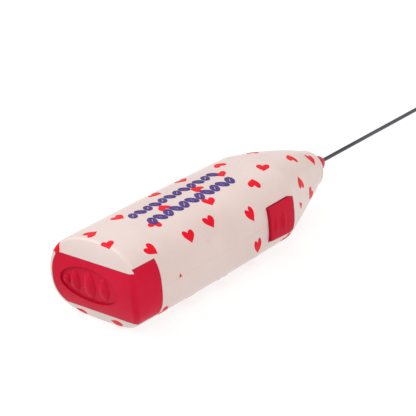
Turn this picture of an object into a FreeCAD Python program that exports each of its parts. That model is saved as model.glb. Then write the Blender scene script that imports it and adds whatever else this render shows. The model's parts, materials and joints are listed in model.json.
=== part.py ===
import FreeCAD, Part
import math
import os

# A battery milk frother, lying on its broad side.
# Modelling axes: x runs along the handle from the cap end to the whisk, z is up, and the wire's
# axis is y = z = 0. x = 0 is the plane where the cap end's corners lie. place() moves everything
# so that the origin is at the bottom centre of the bounding box. All sizes are millimetres.

# ---- driving dimensions --------------------------------------------------------------------------
OVERALL = 210.0                  # cap end to whisk head
HALF_WIDTH = 19.0                # of the handle at the cap end
HALF_THICK = 14.4                # of the handle's straight part
WIDE_X, WIDE_HALF = 38.0, 19.4   # the widest place, where the barrel swells a little
CREASE_X, CREASE_HALF = 78.0, 18.0
NOSE_MID_X, NOSE_MID = 93.0, (12.1, 11.8)
TIP_X, TIP_HALF = 107.0, 6.9
TIP_ROUND = 3.2                  # rounding of the nose end
SQUARENESS = 2.8                 # exponent of the oval section; 2 is an ellipse
NOSE_MID_SQUARENESS = 2.45
TIP_SQUARENESS = 2.1
WALL = 1.7
TONGUE = 0.8                     # thickness of the locating rib inside the seam
QUADRANT_POINTS = 8              # spans of each quarter of the section's outline
LAND_DEPTH = 0.15                # the flat that the handle rests on is cut this deep

END_RADIUS = 24.0                # the cap end bulges as part of a cylinder lying along y
END_CORNER_Z = 8.9               # height at which the bulging end meets the plane x = 0
END_ROUND = 1.9                  # rounding between the end and the sides

# ---- battery cap ---------------------------------------------------------------------------------
BAND_Z = (-9.35, 8.05)           # the band across the end
FLAP_Z = (-9.7, 9.25)            # the flap on the side, a little taller than the band
FLAP_X = (1.0, 10.4)             # from the corner to the flap's free edge
FLAP_THICK = 1.5
CAP_RIM = 1.9                    # width of the casing left beside the band's closed end
BAND_DEPTH = 1.2                 # x where the band ends and its lips begin
LIP_Z = (-9.6, 8.9)              # the lips reach past the band into the casing's slots, behind the flap
LIP_THICK = 1.0
FIT = 0.12                       # sliding clearance round the cap and the button
END_WALL_X = BAND_DEPTH + LIP_THICK + 0.9
CONTACT_MOUTH_HALF = 4.8         # half height of the gap that the cap's contact slides out through

SCOOP_HALF = (12.7, 5.85)
SCOOP_Y = 1.0
SCOOP_DEPTH = 0.7
RIB_HEIGHT = 1.15
# y, half width and half height of each rib
THUMB_RIBS = ((11.2, 1.4, 1.7), (7.4, 2.1, 3.8), (1.3, 2.8, 4.9), (-5.1, 2.4, 4.0))
RIB_ROOT = 1.3                   # how far a rib reaches under the floor it stands on

# ---- power button --------------------------------------------------------------------------------
# Corners are (x, z), seen from the button's side.
WINDOW_CORNERS = ((63.2, -6.3), (74.9, -7.6), (77.8, -7.8), (77.8, 4.9), (74.9, 6.0), (63.2, 6.15))
PAD_CORNERS = ((63.35, -5.8), (74.8, -7.0), (74.8, 5.65), (63.35, 5.9))
PAD_PROUD = 1.15                 # how far the pad stands out of the casing at rest
PAD_ROUND = 0.35
PAD_DEEP = 0.2                   # the pad and its skirt reach this far into the handle, past the wall
PAD_RIM_Y = 17.7                 # the rim that is rounded lies further out than this
SKIRT_DEPTH = 0.12               # on the nose side the skirt lies this far below the casing's surface
SKIRT_STEP = 0.8                 # round the pad's other sides it is this much deeper
FLANGE_X = (62.1, 78.0)
FLANGE_Z = (-7.9, 7.2)
FLANGE_THICK = 1.0
FLANGE_GAP = 0.1
BUTTON_RIB_X = (66.2, 70.2)
BUTTON_RIB_R = 1.9
BUTTON_RIB_TAPER = 0.5           # how much thinner its ends are
BUTTON_RIB_HALF = 3.4            # half its height
BUTTON_RIB_Z = -0.5
BUTTON_RIB_PROUD = 0.3
PLUNGER_X = (69.0, 71.6)
PLUNGER_LENGTH = 4.5
PLUNGER_HALF = 1.5

# ---- cells and contacts --------------------------------------------------------------------------
CELL_R = 7.25
CELL_LENGTH = 50.5
NUB_R, NUB_LENGTH = 2.75, 1.0
CELL_Y = 7.6
CELL_X = 3.8
CELL_END = CELL_X + CELL_LENGTH
CELL_ROUND = 0.4
TROUGH_R = 7.4
SHEET = 0.3                      # thickness of the contact strips
CONTACT_GAP = 0.1
BUMP_R = 3.0                     # radius of the cap contact's bumps, at the plate
PLATE_HALF = 4.5                 # half height of the contact plates
STRIP_HALF = 2.0                 # half height of the strips along the side
TAB_HALF = 1.4                   # half height of the strips that meet the motor

SPRING_WIRE_R = 0.35             # the conical coil behind cell B
SPRING_R = 3.2
SPRING_PITCH = 1.1
SPRING_LENGTH = 3.0
SPRING_TAPER = 8.0               # degrees

COIL_POCKET = (CELL_END + 0.4, CELL_END + 4.6)
COIL_POCKET_R = 5.4
BULKHEAD_X = (CELL_END + 0.5, CELL_END + 6.1)
BULKHEAD_TOP = 7.8
TRAY_X = 4.8
TRAY_TOP = -1.0
TRAY_HALF_WIDTH = 14.7
FLOOR_Z = -9.9                   # underside of the cradle
SADDLE_END = 86.0
SADDLE_HALF_WIDTH = 9.0
SADDLE_TOP = -5.0
SWITCH_WALL_X = (62.2, 77.0)     # the cradle's wall between motor and switch
SWITCH_WALL_TOP = 7.0
SWITCH_WALL_THICK = 1.1
SWITCH_FOOT_TOP = -8.0
WALL_Y = -11.6                   # outer face of that wall
CRADLE_GAP = 0.95                # between the cradle and the casing's inner face

LEAF_CREST = 13.55               # the leaf's bump under the plunger, from the handle's middle
LEAF = ((61.3, -12.05), (64.2, -12.05), (68.4, -13.3), (70.3, -LEAF_CREST), (72.2, -13.3), (74.4, -12.7))
LEAF_THICK = 0.25
LEAF_TOP_Y = -LEAF_CREST - LEAF_THICK / 2 - 0.01
FIXED_X = (67.6, 75.0)           # the fixed contact's pad under the leaf
FIXED_TOP = 5.5
FIXED_ARM_Z = 3.2

# ---- motor ---------------------------------------------------------------------------------------
MOTOR_R = 10.0
MOTOR_FLAT = 7.6
CAN_X = (66.0, 86.5)
CAN_WALL = 0.6
BELL_X = 62.2
BELL_SPIGOT = 1.5
BELL_WALL = 1.1
BELL_BORE_R = 6.8
BOSS_R = 3.1
FRONT_BOSS = 1.7
REAR_BOSS = 1.1
SHAFT_R = 1.0
SHAFT_X = (61.2, 96.5)
BEARING_R = 2.2
FRONT_BUSH_IN = 1.0              # how far each bush reaches into the motor
REAR_BUSH_IN = 0.9
RUNNING = 0.05                   # radial clearance of a shaft in its bush
CORE_X = (70.5, 79.5)
CORE_R = 6.7
CORE_HUB_R = 2.4
MAGNET_R = (7.3, 9.3)
MAGNET_X = (68.0, 84.0)
MAGNET_EDGE = 5.0                # the magnets lie beyond this, left and right
SPOKE_HALF = 1.1
SHOE_THICK = 1.3
SLOT_HALF = 0.9
WINDING_HALF = 2.2
WINDING_END = 1.5                # the coils stand this far out of the core at each end
COMMUTATOR_X = (64.0, 67.6)
COMMUTATOR_R = 2.4
SLEEVE_THICK = 0.5
TERMINAL_X = 61.6                # where the strips meet the motor's terminals
TERMINAL_Y = 6.2
TERMINAL_HALF = (1.2, 0.18)      # half width and half thickness of a terminal
BRUSH_WIDTH = 1.4
BRUSH_THICK = 0.24
BRUSH_Z = (-4.1, 1.6)
BRUSH_START = 1.2                # from the commutator's end to the brush
BRUSH_ROOT_Y, BRUSH_ROOT_HALF = 3.75, 1.25
BRUSH_ROOT_THICK = 0.3

# ---- nose and whisk ------------------------------------------------------------------------------
COLLAR_R = 3.5
COLLAR_FRONT = 116.3
COLLAR_FLANGE_R = 4.5
COLLAR_FLANGE_X = (105.2, 106.8)
COLLAR_BACK = 103.9
COLLAR_NECK = 0.7                # the collar's back is this much thinner than its front
COLLAR_BULGE = 1.2               # how far the domed front bows out, and the share of the radius
COLLAR_SHOULDER = 0.72           # at which it does
NOSE_WALL_X = 104.2              # the cavity ends here
COUPLING_X = (91.0, 102.8)
COUPLING_R = 2.6
WIRE_R = 0.7
WIRE_SOCKET = 6.0                # length of wire held in the coupling
RING_R = 9.2                     # centreline of the whisk ring
COIL_R = 1.9                     # outside radius of the coil wound on the ring
BEND_R = 2.2
RING_SWEEP = 322.0               # degrees of ring that the wire makes
RING_START = math.asin(BEND_R / (RING_R - BEND_R))   # the angle at which the wire joins the ring
COIL_MARGIN = 6.0                # degrees of bare ring at each end of the coil
COIL_BORE_GAP = 0.15             # between the ring's wire and the coil

FAR = 60.0                       # longer than anything it cuts

CAP_END_X = END_RADIUS - math.sqrt(END_RADIUS ** 2 - END_CORNER_Z ** 2)
LOW_X = SCOOP_DEPTH - RIB_HEIGHT - CAP_END_X
RING_X = LOW_X + OVERALL - COIL_R
X_MID = LOW_X + OVERALL / 2
REST_Z = HALF_THICK - LAND_DEPTH

V = FreeCAD.Vector
X_AXIS = V(1, 0, 0)
Y_AXIS = V(0, 1, 0)


# ---- helpers -------------------------------------------------------------------------------------
def box(x, y, z):
    """A box from three (low, high) pairs."""
    return Part.makeBox(x[1] - x[0], y[1] - y[0], z[1] - z[0], V(x[0], y[0], z[0]))


def rod(x, radius, y=0.0, z=0.0):
    """A cylinder along x from x[0] to x[1]."""
    return Part.makeCylinder(radius, x[1] - x[0], V(x[0], y, z), X_AXIS)


def tube(x, inner, outer, y=0.0, z=0.0):
    return rod(x, outer, y, z).cut(rod(x, inner, y, z))


def quadrant(x, half_width, half_thick, squareness, number):
    """A quarter of a superellipse in the plane of constant x, from one axis to the next."""
    points = []
    for i in range(QUADRANT_POINTS + 1):
        a = math.pi / 2 * (number + i / QUADRANT_POINTS)
        c = abs(math.cos(a)) / half_width
        s = abs(math.sin(a)) / half_thick
        r = (c ** squareness + s ** squareness) ** (-1 / squareness)
        points.append(V(x, r * math.cos(a), r * math.sin(a)))
    along = []
    for k in (number, number + 1):
        a = math.pi / 2 * k
        along.append(V(0, -round(math.sin(a)), round(math.cos(a))) * half_thick)
    curve = Part.BSplineCurve()
    curve.interpolate(points, InitialTangent=along[0], FinalTangent=along[1])
    return curve.toShape()


def oval(x, half_width, half_thick, squareness):
    """A closed superellipse wire in the plane of constant x."""
    return Part.Wire([quadrant(x, half_width, half_thick, squareness, k) for k in range(4)])


def loft(stations):
    return Part.makeLoft([oval(*s) for s in stations], True, False)


def oval_prism(x, inset):
    """A straight length of the cap end's section, drawn in by inset all round."""
    return loft([(xi, HALF_WIDTH - inset, HALF_THICK - inset, SQUARENESS) for xi in x])


def strip(points, z, thick=SHEET):
    """A bent sheet-metal strip: a centre line in the xy plane, given thickness, and height z."""
    left = []
    right = []
    for i, p in enumerate(points):
        before = points[max(i - 1, 0)]
        after = points[min(i + 1, len(points) - 1)]
        normals = []
        for a, b in ((before, p), (p, after)):
            length = math.hypot(b[0] - a[0], b[1] - a[1])
            if length > 0:
                normals.append((-(b[1] - a[1]) / length, (b[0] - a[0]) / length))
        nx = sum(n[0] for n in normals) / len(normals)
        ny = sum(n[1] for n in normals) / len(normals)
        scale = thick / 2 / (nx * nx + ny * ny)
        left.append(V(p[0] + nx * scale, p[1] + ny * scale, z[0]))
        right.append(V(p[0] - nx * scale, p[1] - ny * scale, z[0]))
    outline = left + right[::-1]
    face = Part.Face(Part.makePolygon(outline + outline[:1]))
    return face.extrude(V(0, 0, z[1] - z[0]))


def side_prism(corners, grow=0.0):
    """A prism along y on the button's side, from its corners in the xz plane, grown by grow."""
    points = [V(x, 0, z) for x, z in corners]
    outline = Part.makePolygon(points + points[:1])
    if grow:
        outline = outline.makeOffset2D(grow, 2)
    return Part.Face(outline).extrude(V(0, -FAR, 0))


def spindle(centre, middle_r, end_r, half_height):
    """A solid standing along z that is round and thickest halfway up."""
    low, high = V(end_r, 0, -half_height), V(end_r, 0, half_height)
    foot, head = V(0, 0, -half_height), V(0, 0, half_height)
    edges = [Part.Arc(low, V(middle_r, 0, 0), high).toShape()]
    edges.append(Part.LineSegment(high, head).toShape())
    edges.append(Part.LineSegment(head, foot).toShape())
    edges.append(Part.LineSegment(foot, low).toShape())
    solid = Part.Face(Part.Wire(edges)).revolve(V(0, 0, 0), V(0, 0, 1), 360)
    solid.translate(V(*centre))
    return solid


def place(shape):
    shape = shape.copy()
    shape.translate(V(-X_MID, 0, REST_Z))
    return shape


# ---- the handle's outer form ---------------------------------------------------------------------
def tip_stations(inset):
    """The rounded edge of the nose end, a quarter circle seen from the side."""
    stations = []
    for degrees in (0, 25, 50, 72):
        a = math.radians(degrees)
        half = TIP_HALF - inset - TIP_ROUND * (1 - math.cos(a))
        stations.append((TIP_X + TIP_ROUND * math.sin(a), half, half, TIP_SQUARENESS))
    return stations


def barrel_stations(start, inset):
    return [(start, HALF_WIDTH - inset, HALF_THICK - inset, SQUARENESS),
            (WIDE_X, WIDE_HALF - inset, HALF_THICK - inset, SQUARENESS),
            (CREASE_X, CREASE_HALF - inset, HALF_THICK - inset, SQUARENESS)]


def nose_stations(inset):
    mid_width, mid_thick = NOSE_MID
    return [(CREASE_X, CREASE_HALF - inset, HALF_THICK - inset, SQUARENESS),
            (NOSE_MID_X, mid_width - inset, mid_thick - inset, NOSE_MID_SQUARENESS),
            (TIP_X, TIP_HALF - inset, TIP_HALF - inset, TIP_SQUARENESS)]


def end_cylinder(radius):
    """The cylinder along y whose surface is the bulging cap end."""
    centre = V(END_RADIUS - CAP_END_X, -FAR / 2, 0)
    return Part.makeCylinder(radius, FAR, centre, Y_AXIS)


def end_trim():
    """What is cut away to give the cap end its bulge."""
    block = box((-2 * CAP_END_X, END_ROUND * 3), (-FAR / 2, FAR / 2), (-FAR / 2, FAR / 2))
    return block.cut(end_cylinder(END_RADIUS))


def envelope():
    """The whole handle, solid, with cap and button window filled in."""
    body = loft(barrel_stations(-2 * CAP_END_X, 0)).fuse([loft(nose_stations(0)), loft(tip_stations(0))])
    body = body.cut(end_trim())
    rim = [e for e in body.Edges if e.BoundBox.XMax < END_ROUND * 3]
    return body.makeFillet(END_ROUND, rim)


def cavity(inset, start):
    """The inside of the handle, inset from its surface."""
    nose = loft(nose_stations(inset)).common(box((0, NOSE_WALL_X), (-FAR, FAR), (-FAR, FAR)))
    return loft(barrel_stations(start, inset)).fuse(nose)


# ---- casing --------------------------------------------------------------------------------------
def band_region(margin):
    """Where the cap's band lies, grown by margin."""
    x = (-2 * CAP_END_X, BAND_DEPTH + margin)
    closed_side = oval_prism(x, CAP_RIM - margin)
    open_side = box(x, (-FAR / 2, 0), (-FAR / 2, FAR / 2))
    z = (BAND_Z[0] - margin, BAND_Z[1] + margin)
    return closed_side.fuse(open_side).common(box(x, (-FAR / 2, FAR / 2), z))


def flap_region(margin):
    """Where the cap's flap lies, grown by margin."""
    x = (FLAP_X[0] - margin, FLAP_X[1] + margin)
    z = (FLAP_Z[0] - margin, FLAP_Z[1] + margin)
    block = box(x, (-FAR / 2, -HALF_WIDTH / 2), z)
    return block.cut(oval_prism((x[0] - 1, x[1] + 1), FLAP_THICK + margin))


def lip_region(margin):
    """The lips behind the band, which hold the cap in the casing's slots."""
    x = (BAND_DEPTH - margin, BAND_DEPTH + LIP_THICK + margin)
    block = box(x, (-FAR / 2, FAR / 2), (LIP_Z[0] - margin, LIP_Z[1] + margin))
    return block.common(oval_prism((x[0] - 1, x[1] + 1), FLAP_THICK + 0.1 - margin))


def window():
    return side_prism(WINDOW_CORNERS)


def seam_tongue():
    """The rib inside the lower half that centres the upper half."""
    x = (14.0, 98.0)
    core = cavity(WALL + TONGUE, x[0] - 1)
    root = cavity(WALL - 0.3, x[0]).cut(core).common(box(x, (-FAR, FAR), (-2.2, 0)))
    tip = cavity(WALL + FIT, x[0]).cut(core).common(box(x, (-FAR, FAR), (0, 1.0)))
    button_room = box((FLANGE_X[0] - 2, FLANGE_X[1] + 2), (-FAR, 0), (-FAR, FAR))
    return root.fuse(tip).cut(button_room)


def bay_mouth():
    """The opening behind the cap, through which the cells go in and the cap's contact slides out."""
    x = (BAND_DEPTH, END_WALL_X + 0.1)
    opening = box(x, (-FAR / 2, FAR / 2), (BAND_Z[0] - FIT, BAND_Z[1] + FIT))
    side_gap = box(x, (-FAR / 2, 0), (-CONTACT_MOUTH_HALF, CONTACT_MOUTH_HALF))
    return opening.common(oval_prism((x[0] - 1, x[1] + 1), WALL)).fuse(side_gap)


def collar_seat():
    bore = rod((NOSE_WALL_X - 1, TIP_X + TIP_ROUND + 1), COLLAR_R)
    groove = rod(COLLAR_FLANGE_X, COLLAR_FLANGE_R)
    return bore.fuse(groove)


def casing_halves(outer):
    hollow = outer.cut(cavity(WALL, END_WALL_X))
    cap_room = [band_region(FIT), flap_region(FIT), lip_region(FIT)]
    for cutter in cap_room + [bay_mouth(), window(), collar_seat()]:
        hollow = hollow.cut(cutter)
    land = box((-FAR, 3 * FAR), (-FAR, FAR), (-FAR, -REST_Z))
    upper = hollow.common(box((-FAR, 3 * FAR), (-FAR, FAR), (0, FAR)))
    lower = hollow.common(box((-FAR, 3 * FAR), (-FAR, FAR), (-FAR, 0))).cut(land)
    return upper, lower.fuse(seam_tongue()).removeSplitter()


def nose_collar():
    """A stepped bush whose domed front shows; its profile is turned about the wire's axis."""
    bore = WIRE_R + RUNNING
    neck = COLLAR_R - COLLAR_NECK
    front_x = TIP_X + TIP_ROUND - 0.1
    points = [(COLLAR_BACK, bore), (COLLAR_BACK, neck), (COLLAR_FLANGE_X[0], neck),
              (COLLAR_FLANGE_X[0], COLLAR_FLANGE_R), (COLLAR_FLANGE_X[1], COLLAR_FLANGE_R),
              (COLLAR_FLANGE_X[1], COLLAR_R), (front_x, COLLAR_R)]
    corners = [V(x, 0, r) for x, r in points]
    edges = [Part.LineSegment(a, b).toShape() for a, b in zip(corners, corners[1:])]
    shoulder = V((front_x + COLLAR_FRONT) / 2 + COLLAR_BULGE, 0, COLLAR_R * COLLAR_SHOULDER)
    lip = V(COLLAR_FRONT, 0, bore + 0.45)
    mouth = V(COLLAR_FRONT, 0, bore)
    edges.append(Part.Arc(corners[-1], shoulder, lip).toShape())
    edges.append(Part.LineSegment(lip, mouth).toShape())
    edges.append(Part.LineSegment(mouth, corners[0]).toShape())
    return Part.Face(Part.Wire(edges)).revolve(V(0, 0, 0), X_AXIS, 360)


# ---- battery cap ---------------------------------------------------------------------------------
def thumb_scoop():
    """The shallow oval pocket of the cap, with a floor that follows the bulge."""
    ring = Part.Ellipse(V(0, 0, 0), SCOOP_HALF[0], SCOOP_HALF[1]).toShape()
    prism = Part.Face(Part.Wire([ring])).extrude(V(0, 0, 8))
    prism.rotate(V(0, 0, 0), V(0, 0, 1), 90)
    prism.rotate(V(0, 0, 0), Y_AXIS, 90)
    prism.translate(V(-2 * CAP_END_X, SCOOP_Y, 0))
    return prism.cut(end_cylinder(END_RADIUS - SCOOP_DEPTH))


def thumb_ribs():
    """Ridges across the pocket's floor, each as long and wide there as its row says."""
    floor_x = SCOOP_DEPTH - CAP_END_X
    floor_r = END_RADIUS - SCOOP_DEPTH
    room = box((-FAR, floor_x + RIB_ROOT), (-FAR, FAR), (-FAR, FAR))
    ribs = []
    for y, half_y, half_z in THUMB_RIBS:
        middle_r = (half_y ** 2 + RIB_HEIGHT ** 2) / (2 * RIB_HEIGHT)
        sunk = middle_r - RIB_HEIGHT
        floor_sag = floor_r - math.sqrt(floor_r ** 2 - half_z ** 2)
        rib = spindle((floor_x + sunk, y, 0), middle_r, sunk - floor_sag, half_z)
        ribs.append(rib.common(room))
    return ribs


def battery_cap(outer):
    band = outer.common(band_region(0)).cut(thumb_scoop())
    band = band.fuse(thumb_ribs())
    flap = outer.common(flap_region(0))
    lips = lip_region(0)
    return band.fuse([flap, lips]).removeSplitter()


def cap_contact():
    """The bridge on the cap's inside, with a sprung bump for each cell."""
    x = BAND_DEPTH + LIP_THICK
    half_width = CELL_Y + BUMP_R + 2
    plate = box((x, x + SHEET), (-half_width, half_width), (-PLATE_HALF, PLATE_HALF))
    tip_x = CELL_X - CONTACT_GAP
    reach = tip_x - x - SHEET
    dome_r = (BUMP_R ** 2 + reach ** 2) / (2 * reach)
    keep = box((x, CELL_X), (-FAR, FAR), (-FAR, FAR))
    for y in (-CELL_Y, CELL_Y):
        ball = Part.makeSphere(dome_r, V(tip_x - dome_r, y, 0))
        plate = plate.fuse(ball.common(keep))
    return plate


# ---- power button --------------------------------------------------------------------------------
def skin(outer_inset, inner_inset):
    """A layer parallel to the barrel's surface, on the button's side, between two depths."""
    layer = loft(barrel_stations(2.0, outer_inset)).cut(loft(barrel_stations(0.0, inner_inset)))
    return layer.common(box((HALF_WIDTH, CREASE_X), (-FAR, 0), (-FAR, FAR)))


def button_pad():
    pad = skin(-PAD_PROUD, WALL + PAD_DEEP).common(side_prism(PAD_CORNERS))
    rim = [e for e in pad.Edges if e.BoundBox.YMax < -PAD_RIM_Y and abs(e.CenterOfMass.z) > 1]
    return pad.makeFillet(PAD_ROUND, rim)


def button_skirt():
    """What fills the window round the pad: high on the nose side, lower on the others."""
    high = skin(SKIRT_DEPTH, WALL + PAD_DEEP)
    low = skin(SKIRT_DEPTH + SKIRT_STEP, WALL + PAD_DEEP)
    step_x = PAD_CORNERS[1][0]
    high = high.common(box((step_x, CREASE_X), (-FAR, 0), (-FAR, FAR)))
    return low.fuse(high).common(side_prism(WINDOW_CORNERS, -FIT))


def power_button():
    pad = button_pad()
    face_y = min(e.BoundBox.YMin for e in pad.Edges)
    flange_top = WALL + FLANGE_GAP
    flange = skin(flange_top, flange_top + FLANGE_THICK).common(box(FLANGE_X, (-FAR, 0), FLANGE_Z))
    plunger_y = (LEAF_TOP_Y - RUNNING - PLUNGER_LENGTH, LEAF_TOP_Y - RUNNING)
    plunger = box(PLUNGER_X, plunger_y, (-PLUNGER_HALF, PLUNGER_HALF))
    room = box((-FAR, FAR + FAR), (-FAR, face_y + RIB_ROOT), (-FAR, FAR))
    axis_y = face_y - BUTTON_RIB_PROUD + BUTTON_RIB_R
    ribs = []
    for x in BUTTON_RIB_X:
        middle = (x, axis_y, BUTTON_RIB_Z)
        rib = spindle(middle, BUTTON_RIB_R, BUTTON_RIB_R - BUTTON_RIB_TAPER, BUTTON_RIB_HALF)
        ribs.append(rib.common(room))
    return pad.fuse([button_skirt(), flange, plunger] + ribs).removeSplitter()


# ---- cells, cradle and contacts ------------------------------------------------------------------
def cell(y, nub_forward):
    if nub_forward:
        can = rod((CELL_X, CELL_END - NUB_LENGTH), CELL_R, y)
        nub = rod((CELL_END - NUB_LENGTH, CELL_END), NUB_R, y)
    else:
        can = rod((CELL_X + NUB_LENGTH, CELL_END), CELL_R, y)
        nub = rod((CELL_X, CELL_X + NUB_LENGTH), NUB_R, y)
    return can.makeFillet(CELL_ROUND, [can.Edges[0], can.Edges[2]]).fuse(nub)


def motor_profile(x, grow=0.0):
    flat = MOTOR_FLAT + grow
    return rod(x, MOTOR_R + grow).common(box(x, (-FAR, FAR), (-flat, flat)))


def cradle():
    """One moulding: battery tray, bulkhead and motor saddle with the switch's wall."""
    width = (-TRAY_HALF_WIDTH, TRAY_HALF_WIDTH)
    tray = box((TRAY_X, BULKHEAD_X[1]), width, (FLOOR_Z, TRAY_TOP))
    bulkhead = box(BULKHEAD_X, width, (FLOOR_Z, BULKHEAD_TOP))
    saddle_x = (BULKHEAD_X[1] - 0.5, SADDLE_END)
    saddle = box(saddle_x, (-SADDLE_HALF_WIDTH, SADDLE_HALF_WIDTH), (FLOOR_Z, SADDLE_TOP))
    wall = box(SWITCH_WALL_X, (WALL_Y, WALL_Y + SWITCH_WALL_THICK), (FLOOR_Z, SWITCH_WALL_TOP))
    foot = box(SWITCH_WALL_X, (WALL_Y, -SADDLE_HALF_WIDTH + 1), (FLOOR_Z, SWITCH_FOOT_TOP))
    body = tray.fuse([bulkhead, saddle, wall, foot])
    for y in (-CELL_Y, CELL_Y):
        body = body.cut(rod((0, BULKHEAD_X[0]), TROUGH_R, y))
    body = body.cut(rod(COIL_POCKET, COIL_POCKET_R, CELL_Y))
    body = body.cut(motor_profile((BULKHEAD_X[1], FAR * 2), 0.1))
    slot_half = TAB_HALF + 0.3
    slot_y = (CELL_Y - 2.2, CELL_Y + 2.2)
    body = body.cut(box((COIL_POCKET[1] - 1, BULKHEAD_X[1] + 1), slot_y, (-slot_half, slot_half)))
    return body.common(cavity(WALL + CRADLE_GAP, TRAY_X - 0.8))


def negative_coil():
    """The sprung contact on the bulkhead that presses on cell B's flat end."""
    helix = Part.makeHelix(SPRING_PITCH, SPRING_LENGTH, SPRING_R, SPRING_TAPER)
    start = helix.Vertexes[0].Point
    profile = Part.Wire([Part.Circle(start, Y_AXIS, SPRING_WIRE_R).toShape()])
    coil = Part.Wire(helix.Edges).makePipeShell([profile], True, True)
    coil.rotate(V(0, 0, 0), Y_AXIS, 90)
    coil.translate(V(COIL_POCKET[0] + 0.05 + SPRING_WIRE_R, CELL_Y, 0))
    return coil


def negative_strip():
    """From behind the coil, through the bulkhead's slot, to the motor's terminal."""
    x = COIL_POCKET[1] - SHEET
    z = (-TAB_HALF, TAB_HALF)
    plate = tube((x, x + SHEET), 1.0, COIL_POCKET_R - 0.6, CELL_Y)
    tail = strip([(x + 0.1, CELL_Y), (TERMINAL_X - SHEET / 2, CELL_Y)], z)
    tab = box((TERMINAL_X - SHEET, TERMINAL_X), (TERMINAL_Y - TAB_HALF, CELL_Y + 0.2), z)
    return plate.fuse([tail, tab]).removeSplitter()


def positive_strip():
    """From cell A's nub, round the bulkhead's side, to the foot of the switch leaf."""
    plate_x = CELL_END + CONTACT_GAP
    line_x = plate_x + SHEET / 2
    side_y = -TRAY_HALF_WIDTH - SHEET / 2
    end_y = WALL_Y - SHEET / 2
    turn_x = BULKHEAD_X[1] + 0.6
    plate_y = (-CELL_Y - PLATE_HALF, -CELL_Y + PLATE_HALF)
    line = [(line_x, plate_y[1]), (line_x, side_y), (turn_x, side_y), (turn_x, end_y),
            (LEAF[1][0], end_y)]
    plate = box((plate_x, plate_x + SHEET), plate_y, (-PLATE_HALF, PLATE_HALF))
    return strip(line, (-STRIP_HALF, STRIP_HALF)).fuse(plate).removeSplitter()


def switch_leaf():
    return strip(LEAF, (-STRIP_HALF, STRIP_HALF), LEAF_THICK)


def fixed_contact():
    """The switch's other side: a pad under the leaf, and its strip to the motor's terminal."""
    y = (WALL_Y - SHEET, WALL_Y)
    x = (TERMINAL_X - SHEET, TERMINAL_X)
    tab_y = (-TERMINAL_Y - TAB_HALF, -TERMINAL_Y + TAB_HALF)
    pad = box(FIXED_X, y, (-STRIP_HALF, FIXED_TOP))
    arm = box((x[0], FIXED_X[1]), y, (FIXED_ARM_Z, FIXED_TOP))
    back = box(x, (y[0], tab_y[1]), (FIXED_ARM_Z, FIXED_TOP))
    tab = box(x, tab_y, (-TAB_HALF, FIXED_TOP))
    return pad.fuse([arm, back, tab]).removeSplitter()


# ---- motor ---------------------------------------------------------------------------------------
def motor_can():
    outer = motor_profile(CAN_X)
    inner = motor_profile((CAN_X[0] - 1, CAN_X[1] - CAN_WALL), -CAN_WALL)
    boss = rod((CAN_X[1] - CAN_WALL, CAN_X[1] + FRONT_BOSS), BOSS_R)
    hole = rod((CAN_X[0], CAN_X[1] + FRONT_BOSS + 1), BEARING_R)
    return outer.cut(inner).fuse(boss).cut(hole)


def motor_end_bell():
    """The moulded end of the motor, which carries the brushes and the rear bush."""
    flange = motor_profile((BELL_X, CAN_X[0]))
    spigot = motor_profile((CAN_X[0], CAN_X[0] + BELL_SPIGOT), -CAN_WALL - 0.02)
    boss = rod((BELL_X - REAR_BOSS, BELL_X), BOSS_R)
    body = flange.fuse([spigot, boss])
    body = body.cut(rod((BELL_X + BELL_WALL, CAN_X[0] + BELL_SPIGOT + 1), BELL_BORE_R))
    body = body.cut(rod((BELL_X - REAR_BOSS - 1, CAN_X[0]), BEARING_R))
    half_y, half_z = TERMINAL_HALF
    for y in (-TERMINAL_Y, TERMINAL_Y):
        slot_y = (y - half_y - 0.05, y + half_y + 0.05)
        body = body.cut(box((BELL_X - 1, BELL_X + 2), slot_y, (-half_z - 0.02, half_z + 0.02)))
    return body


def motor_terminal(side):
    """A tab in the end bell's slot, whose outer end meets a strip."""
    y = side * TERMINAL_Y
    half_y, half_z = TERMINAL_HALF
    return box((TERMINAL_X, BELL_X + 1.6), (y - half_y, y + half_y), (-half_z, half_z))


def motor_brush(side):
    """A sprung copper leaf inside the end bell, bearing on the commutator."""
    x = COMMUTATOR_X[0] + BRUSH_START
    leaf_y = side * (COMMUTATOR_R + RUNNING + 0.15)
    leaf_side = (leaf_y - BRUSH_THICK / 2, leaf_y + BRUSH_THICK / 2)
    leaf = box((x, x + BRUSH_WIDTH), leaf_side, BRUSH_Z)
    root_y = (side * BRUSH_ROOT_Y - BRUSH_ROOT_HALF, side * BRUSH_ROOT_Y + BRUSH_ROOT_HALF)
    root = box((BELL_X + BELL_WALL, x + BRUSH_WIDTH), root_y, (BRUSH_Z[0] - BRUSH_ROOT_THICK, BRUSH_Z[0]))
    return leaf.fuse(root)


def magnet(side):
    """An arc of ferrite along the can's round side; side is +1 or -1 along y."""
    ring = tube(MAGNET_X, MAGNET_R[0], MAGNET_R[1])
    y = sorted((side * MAGNET_EDGE, side * FAR))
    wedge = box(MAGNET_X, y, (-FAR, FAR))
    return ring.common(wedge).common(motor_profile(MAGNET_X, -CAN_WALL - 0.05))


def bush(x):
    return tube(x, SHAFT_R + RUNNING, BEARING_R)


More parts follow.
